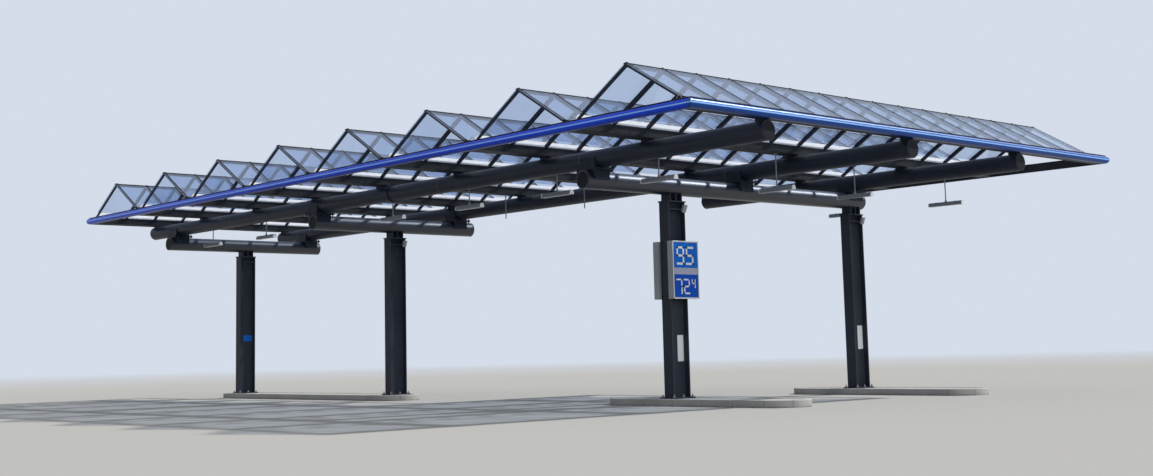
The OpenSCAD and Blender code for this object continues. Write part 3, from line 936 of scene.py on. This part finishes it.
CRADLE_BOLT = 0.27
CRADLE_NUT = 0.036
CRADLE_HALF = 0.231
SIDE_PLATE_T = 0.012
FLANGE_HALF_T = 0.02


def cradle_places():
    """Middle of the flange pair at each place where a beam lies across a cross tube."""
    z = (middle("cross_tube_right").z + middle("beam_middle").z) / 2
    for tube, count in CROSSINGS:
        for beam in BEAMS[:count]:
            yield middle(tube).x, middle(beam).y, z


def cradle_bolts(shape):
    """Four bolts through the flange pair of every cradle, with a nut above and one below."""
    for x, y, z in cradle_places():
        for dx in (-CRADLE_BOLT, CRADLE_BOLT):
            for dy in (-CRADLE_BOLT, CRADLE_BOLT):
                for way in (UP, -UP):
                    hex_bolt(shape, Vector((x + dx, y + dy, z)) + way * FLANGE_HALF_T, way, CRADLE_NUT)


def cradle_sides(shape):
    """Plates that close the sides of every cradle, below and above its flanges."""
    tube_z = middle("cross_tube_right").z
    beam_z = middle("beam_middle").z
    half = CRADLE_HALF
    for x, y, z in cradle_places():
        for side in (-1, 1):
            outer = side * half
            inner = side * (half - SIDE_PLATE_T)
            shape.box((x + outer, y - half, tube_z), (x + inner, y + half, z - FLANGE_HALF_T))
            shape.box((x - half, y + outer, z + FLANGE_HALF_T), (x + half, y + inner, beam_z))


def build_tubes():
    """Ends and weld seams of all tubes, bolts of their joints and the side plates of the cradles."""
    ends, welds, bolts, sides = shapes(4)
    for name in BEAMS + tuple(tube for tube, _ in CROSSINGS):
        tube_trims(name, ends, welds)
    piece("tube_end_plates", ends, trim_paint)
    piece("tube_weld_seams", welds, tube_paint)
    cradle_bolts(bolts)
    splice_bolts(bolts)
    piece("joint_bolts", bolts, bar_paint, smooth=30)
    cradle_sides(sides)
    piece("cradle_side_plates", sides, bar_paint, bevel=0.003)


# Columns

PAVING_Z = 0.15
BASE_PLATE_T = 0.03
BASE_BOLTS = [(x, y) for x in (-0.185, 0.185) for y in (-0.305, 0.0, 0.305)]
BASE_NUT = 0.046
BASE_STUB = 0.03
WEB_HALF = 0.01
COLUMN_HALF_W = 0.15
COLUMN_HALF_D = 0.28
FLANGE_T = 0.032
NOTICE_GAP = 0.0005
NOTICE_T = 0.004
RIVET_IN = 0.02
RIVET = ((0, 0.006), (0.0015, 0.005), (0.003, 0.002))
# Notice plates: column, places along Y from its middle, heights
WHITE_NOTICES = ((3, (0.03, 0.23), (1.01, 1.62)), (4, (0.02, 0.23), (1.18, 1.80)))
BLUE_NOTICES = ((1, (-0.10, 0.24), (1.90, 2.10)),)


def notice_plates(shape, rivets, notices):
    """Thin plates on the webs of columns, with a rivet in each corner."""
    for column, ys, zs in notices:
        at = middle(f"column_{column}")
        x = at.x + WEB_HALF + NOTICE_GAP
        ys = [at.y + y for y in ys]
        shape.box((x, ys[0], zs[0]), (x + NOTICE_T, ys[1], zs[1]))
        for y in (ys[0] + RIVET_IN, ys[1] - RIVET_IN):
            for z in (zs[0] + RIVET_IN, zs[1] - RIVET_IN):
                rivets.lathe((x + NOTICE_T, y, z), RIGHT, RIVET, STUD_SIDES)


FLOOD_COLUMNS = (2, 3, 4)
FLOOD_Z = 4.62
FLOOD_TILT = Matrix.Rotation(math.radians(20), 4, "Y")
FLOOD_HEAD_AT = Vector((0.06, -0.06, -0.03))
# Boxes by two opposite corners: the bracket from the flange's edge, the others from the head's middle
FLOOD_BRACKET = ((-0.01, -0.05, -0.02), (0.04, 0.004, 0.02))
FLOOD_HEAD = ((-0.025, -0.06, -0.09), (0.025, 0.06, 0.09))
FLOOD_HOOD = ((0.025, -0.065, 0.076), (0.036, 0.065, 0.096))
FLOOD_LENS = ((0.025, -0.052, -0.082), (0.028, 0.052, 0.075))
FLOOD_FIN = ((-0.042, -0.004, -0.075), (-0.025, 0.004, 0.075))
FIN_PLACES = (-0.048, -0.016, 0.016, 0.048)


def floodlight(shape, lens, at):
    """Lamp head with fins on a bracket, beside the rear flange under the column's head."""
    y = at.y + COLUMN_HALF_D - FLANGE_T / 2
    seat = Matrix.Translation((at.x + COLUMN_HALF_W, y, FLOOD_Z))
    head = seat @ Matrix.Translation(FLOOD_HEAD_AT) @ FLOOD_TILT
    shape.box(*FLOOD_BRACKET, seat)
    shape.box(*FLOOD_HEAD, head)
    for along in FIN_PLACES:
        shape.box(*FLOOD_FIN, head @ Matrix.Translation(REAR * along))
    shape.box(*FLOOD_HOOD, head)
    lens.box(*FLOOD_LENS, head)


def build_columns():
    """Bolts on the base plates, notice plates and floodlights."""
    bolts, white, blue, rivets, heads, lenses = shapes(6)
    for column in (1, 2, 3, 4):
        at = middle(f"column_{column}")
        for dx, dy in BASE_BOLTS:
            hex_bolt(bolts, (at.x + dx, at.y + dy, PAVING_Z + BASE_PLATE_T), UP, BASE_NUT, BASE_STUB)
    notice_plates(white, rivets, WHITE_NOTICES)
    notice_plates(blue, rivets, BLUE_NOTICES)
    for column in FLOOD_COLUMNS:
        floodlight(heads, lenses, middle(f"column_{column}"))
    piece("column_bolts", bolts, bolt_zinc, smooth=30)
    piece("notice_plates_white", white, sign_white, bevel=0.001)
    piece("notice_plate_blue", blue, sign_blue, bevel=0.001)
    piece("plate_rivets", rivets, bolt_zinc)
    piece("floodlights", heads, sign_paint, bevel=0.003, steps=2)
    piece("floodlight_lenses", lenses, lens_paint)


# Lamps

# Gutter and row of each lamp, and how far each row is behind the front
LAMP_PLACES = ((1, 1), (2, 1), (3, 1), (4, 1), (6, 1), (7, 1), (1, 2), (1, 3), (1, 4), (2, 4))
LAMP_ROWS = (2.71, 6.65, 9.65, 13.6)
LAMP_HALF_L = 0.525
LAMP_END_T = 0.022
LAMP_HALF_FOOT = 0.06
LAMP_HALF_TOP = 0.035
LAMP_H = 0.1
LAMP_FOOT_H = 0.035
LAMP_EASE = 0.006
LAMP_TOP_EASE = 0.007
LAMP_BEND = (0.003, 0.004)
HOUSING_GROW = -0.001
CAP_GROW = 0.002
LENS_HALF = (LAMP_HALF_L - 0.04, 0.045)
LENS_DOWN = 0.006
LENS_UP = 0.002
CLAMP_ASIDE = 0.3
CLAMP_HALF = (0.012, 0.037)
CLAMP_DOWN = 0.01
CLAMP_UP = 0.006
SOCKET_DOWN = 0.004
SOCKET = ((0, 0.034), (0.02, 0.034), (0.045, 0.019), (0.06, 0.019))
SOCKET_SIDES = 16


def lamp_outline(grow):
    """Cross-section of a lamp with eased corners, as (across, up) from the middle of its foot."""
    foot = LAMP_HALF_FOOT + grow
    top = LAMP_HALF_TOP + grow
    inward, up = LAMP_BEND
    right = [
        (foot - LAMP_EASE, -grow), (foot, LAMP_EASE), (foot, LAMP_FOOT_H - up),
        (foot - inward, LAMP_FOOT_H + up), (top + inward, LAMP_H - LAMP_TOP_EASE),
        (top - LAMP_EASE, LAMP_H + grow),
    ]
    return right + [(-u, v) for u, v in reversed(right)]


def build_lamps():
    """Housings, end caps, lens strips and clamps of the linear lamps, with a socket for each rod."""
    housings, caps, lenses, clamps = shapes(4)
    lamp_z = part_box("ceiling_lamps")[0].z
    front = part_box("fascia_front")[0].y
    half = LAMP_HALF_L
    body = half - LAMP_END_T
    for gutter, row in LAMP_PLACES:
        at = Vector((valley_x(gutter), front + LAMP_ROWS[row - 1], lamp_z))
        for shape, grow, span in (
            (housings, HOUSING_GROW, (-body, body)),
            (caps, CAP_GROW, (-half, -body)), (caps, CAP_GROW, (body, half)),
        ):
            shape.sweep(lamp_outline(grow), [(at + RIGHT * t, REAR, UP) for t in span])
        lenses.pad(at.x, at.y, *LENS_HALF, at.z - LENS_DOWN, at.z + LENS_UP)
        top = at.z + LAMP_H
        for x in (at.x - CLAMP_ASIDE, at.x + CLAMP_ASIDE):
            clamps.pad(x, at.y, *CLAMP_HALF, top - CLAMP_DOWN, top + CLAMP_UP)
        clamps.lathe((at.x, at.y, top - SOCKET_DOWN), UP, SOCKET, SOCKET_SIDES)
    made = piece("lamp_housings", housings, lamp_paint, smooth=25)
    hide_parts("ceiling_lamps")
    piece("lamp_end_caps", caps, sign_white, smooth=25)
    piece("lamp_lenses", lenses, lens_paint)
    piece("lamp_clamps", clamps, lamp_paint)


# Signs

FACE_IN = 0.008
SIGN_FRAME = 0.035
PANEL_T = 0.003
EDGE_W = 0.02
EDGE_T = 0.003
DIGIT_T = 0.002
# Top and foot of each panel, as shares of the face from its top
PANELS = ((0.0, 0.465), (0.465, 0.585), (0.585, 1.0))
# Bars of each digit, and the ends of each bar as shares of the digit's width and height
SEGMENTS = {"2": "abged", "4": "fgbc", "5": "afgcd", "7": "abc", "9": "abcdfg"}
STROKES = {
    "a": (0, 1, 1, 1), "b": (1, 0.5, 1, 1), "c": (1, 0, 1, 0.5), "d": (0, 0, 1, 0), "e": (0, 0, 0, 0.5),
    "f": (0, 0.5, 0, 1), "g": (0, 0.5, 1, 0.5),
}
# Digit, place along the reading line, foot as a share of the face from its top, width, height, stroke
DIGITS = (
    ("9", -0.27, 0.39, 0.2, 0.38, 0.05), ("5", 0.04, 0.39, 0.2, 0.38, 0.05),
    ("7", -0.31, 0.93, 0.16, 0.32, 0.036), ("2", -0.06, 0.93, 0.16, 0.32, 0.036),
    ("4", 0.2, 0.82, 0.1, 0.18, 0.026),
)


def draw_digit(shape, face, side, centre, top, tall, row):
    """Seven-bar digit on a face that looks along X."""
    digit, along, share, width, height, stroke = row
    u = centre + along
    v = top - share * tall
    half = stroke / 2
    for name in SEGMENTS[digit]:
        u0, v0, u1, v1 = STROKES[name]
        shape.box(
            (face, side * (u + u0 * width - half), v + v0 * height - half),
            (face + side * DIGIT_T, side * (u + u1 * width + half), v + v1 * height + half),
        )


def build_signs():
    """Panels, generic digits and edge trims of both sign boxes."""
    upper, band, lower, digits, trims = shapes(5)
    for name, side in (("price_sign_right", 1), ("price_sign_left", -1)):
        low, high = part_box(name)
        edge = high.x if side > 0 else low.x
        back = edge - side * FACE_IN
        face = back + side * PANEL_T
        ys = (low.y + SIGN_FRAME, high.y - SIGN_FRAME)
        top = high.z - SIGN_FRAME
        tall = high.z - low.z - 2 * SIGN_FRAME
        for shape, (start, end) in zip((upper, band, lower), PANELS):
            shape.box((back, ys[0], top - end * tall), (face, ys[1], top - start * tall))
        for row in DIGITS:
            draw_digit(digits, face, side, side * (low.y + high.y) / 2, top, tall, row)
        proud = edge + side * EDGE_T
        for z in (high.z - EDGE_W, low.z):
            trims.box((edge, low.y, z), (proud, high.y, z + EDGE_W))
        for y in (low.y, high.y - EDGE_W):
            trims.box((edge, y, low.z), (proud, y + EDGE_W, high.z))
    piece("sign_upper_panels", upper, sign_blue)
    piece("sign_bands", band, sign_band)
    piece("sign_lower_panels", lower, sign_deep)
    piece("sign_digits", digits, sign_white)
    piece("sign_edge_trims", trims, sign_white, bevel=0.001)


# Islands

KERB_W = 0.15
STONE_L = 1.0
STONE_GAP = 0.008
END_STONES = 3
ARC_STEP = 7.5
SLAB_STEP = 0.5
SLAB_GAP = 0.003
SLAB_FOOT_Z = 0.135
KERB_GAP = 0.004
BED_IN = 0.012
BED_Z = (0.002, 0.142)
# Kerb cross-section as (out from the island's edge, up), with an eased outer edge
KERB = (
    (-KERB_W, 0.001), (0, 0.001), (0, 0.135), (-0.004, 0.149), (-0.012, 0.157), (-0.026, 0.16),
    (-KERB_W + 0.006, 0.16), (-KERB_W, 0.155),
)


class Plan:
    """An island seen from above: a straight part with a half circle at each end."""

    def __init__(self, name):
        low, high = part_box(name)
        self.radius = (high.y - low.y) / 2
        self.y = (high.y + low.y) / 2
        self.start = low.x + self.radius
        self.straight = high.x - low.x - 2 * self.radius
        self.ends = ((self.start + self.straight, -90), (self.start, 90))

    def arc(self, x, radius, turn, degrees=180):
        """Points of an arc round one end, each with the way out."""
        turns = [math.radians(turn + ARC_STEP * k) for k in range(round(degrees / ARC_STEP) + 1)]
        outs = [Vector((math.cos(t), math.sin(t), 0)) for t in turns]
        return [(Vector((x, self.y, 0)) + out * radius, out) for out in outs]

    def divide(self, length):
        """The straight part in equal lengths near the one given, as (start, end) along X."""
        count = round(self.straight / length)
        step = self.straight / count
        return [(self.start + step * i, self.start + step * (i + 1)) for i in range(count)]

    def spans(self):
        """The edge stone by stone, each as a list of (point, way out)."""
        spans = []
        for side in (-1, 1):
            for xs in self.divide(STONE_L):
                out = Vector((0, side, 0))
                spans.append([(Vector((x, self.y + side * self.radius, 0)), out) for x in xs])
        degrees = 180 / END_STONES
        for x, turn in self.ends:
            for i in range(END_STONES):
                spans.append(self.arc(x, self.radius, turn + degrees * i, degrees))
        return spans


def trimmed(span, gap):
    """A span with its two ends drawn in by half a joint."""
    points = [list(p) for p in span]
    for a, b in ((0, 1), (-1, -2)):
        way = (points[b][0] - points[a][0]).normalized()
        points[a][0] = points[a][0] + way * gap / 2
    return points


def build_island(name, luck):
    """Kerb stones, mortar bed and paving slabs of one island."""
    plan = Plan(name)
    stones, bed, paving = shapes(3)
    for span in plan.spans():
        frames = [(at, out, UP) for at, out in trimmed(span, STONE_GAP)]
        stones.sweep(KERB, frames, shade=luck.random())
    edge = [p for x, turn in plan.ends for p, _ in plan.arc(x, plan.radius - BED_IN, turn)]
    bed.block([(p.x, p.y, z) for z in BED_Z for p in edge])
    half = plan.radius - KERB_W - KERB_GAP
    for start, end in plan.divide(SLAB_STEP):
        for side in (-1, 1):
            paving.box(
                (start + SLAB_GAP, plan.y + side * SLAB_GAP, SLAB_FOOT_Z),
                (end - SLAB_GAP, plan.y + side * half, PAVING_Z),
                shade=luck.random(),
            )
    for x, turn in plan.ends:
        edge = [Vector((x, plan.y, 0))] + [p for p, _ in plan.arc(x, half, turn)]
        paving.block([(p.x, p.y, z) for z in (SLAB_FOOT_Z, PAVING_Z) for p in edge], luck.random())
    kerb = piece(f"{name}_kerb", stones, concrete, bevel=0.003, steps=2)
    top = piece(f"{name}_paving", paving, concrete, bevel=0.002)
    fill = piece(f"{name}_bed", bed, joint_mortar)
    for made in (kerb, top, fill):
        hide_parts(name)


def build_islands():
    luck = random.Random(11)
    for name in ("island_left", "island_front_right", "island_rear_right"):
        build_island(name, luck)


# Stage, camera and light


def make_world():
    """World that shows the backdrop to the camera, in gloss and through glass, and lights weakly."""
    world = bpy.data.worlds.new("studio")
    bpy.context.scene.world = world
    world.use_nodes = True
    tree = world.node_tree
    tree.nodes.clear()
    path = add_node(tree, "LightPath")
    seen = path.outputs["Is Camera Ray"]
    for name in ("Is Glossy Ray", "Is Transmission Ray"):
        seen = calculate(tree, "MAXIMUM", seen, path.outputs[name])
    shown = add_node(tree, "Background", {"Color": BACKDROP, "Strength": 1.0})
    light = add_node(tree, "Background", {"Color": SKY_COLOUR, "Strength": FILL_STRENGTH})
    show(tree, mix_shaders(tree, seen, light, shown), "World")


def make_floor():
    """Pale floor that fades into the backdrop far from the object."""
    material, tree = new_material("studio_floor")
    radius = add_node(tree, "VectorMath", {0: place(tree)}, operation="LENGTH").outputs["Value"]
    far = remap(tree, radius, *FLOOR_CLEAR)
    path = add_node(tree, "LightPath")
    seen = calculate(tree, "MAXIMUM", path.outputs["Is Camera Ray"], path.outputs["Is Glossy Ray"])
    near = add_node(tree, "BsdfDiffuse", {"Color": FLOOR_COLOUR})
    glow = add_node(tree, "Emission", {"Color": BACKDROP, "Strength": 1.0})
    show(tree, mix_shaders(tree, times(tree, far, seen), near, glow))
    mesh = bpy.data.meshes.new("studio_floor")
    rim = [(FLOOR_RADIUS * x, FLOOR_RADIUS * y, 0) for x, y in circle(FLOOR_SIDES)]
    mesh.from_pydata(rim, [], [tuple(range(FLOOR_SIDES))])
    mesh.materials.append(material)
    floor = add_object("studio_floor", mesh)
    floor.location.z = cad_low.z - FLOOR_BELOW


def make_camera():
    """Camera at the photo's viewpoint, with its horizon below the middle of the frame."""
    data = bpy.data.cameras.new("photo_camera")
    data.sensor_width = SENSOR_W
    data.lens = SENSOR_W * FOCAL_PX / IMAGE_W
    data.shift_y = -AXIS_ABOVE_MIDDLE_PX / IMAGE_W
    data.clip_end = CLIP_END
    camera = add_object("photo_camera", data)
    camera.location = CAMERA_PLACE
    camera.rotation_euler = [math.radians(v) for v in CAMERA_TURN]
    bpy.context.scene.camera = camera


def make_lamps():
    """Key light from the rear right, and a broad weak light from the right."""
    for name, way, strength, angle, colour in SUNS:
        data = bpy.data.lights.new(name, "SUN")
        data.energy = strength
        data.angle = math.radians(angle)
        data.color = colour
        lamp = add_object(name, data)
        lamp.rotation_euler = Vector(way).to_track_quat("Z", "Y").to_euler()


make_camera()
make_world()
make_floor()
make_lamps()
bpy.context.scene.view_settings.view_transform = "Standard"
bpy.context.scene.cycles.transparent_max_bounces = PANES_SEEN_THROUGH
dress_nodes()
build_roof()
build_fascia_trims()
valley_hoops()
gutter_straps()
build_tubes()
build_columns()
build_lamps()
build_signs()
build_islands()
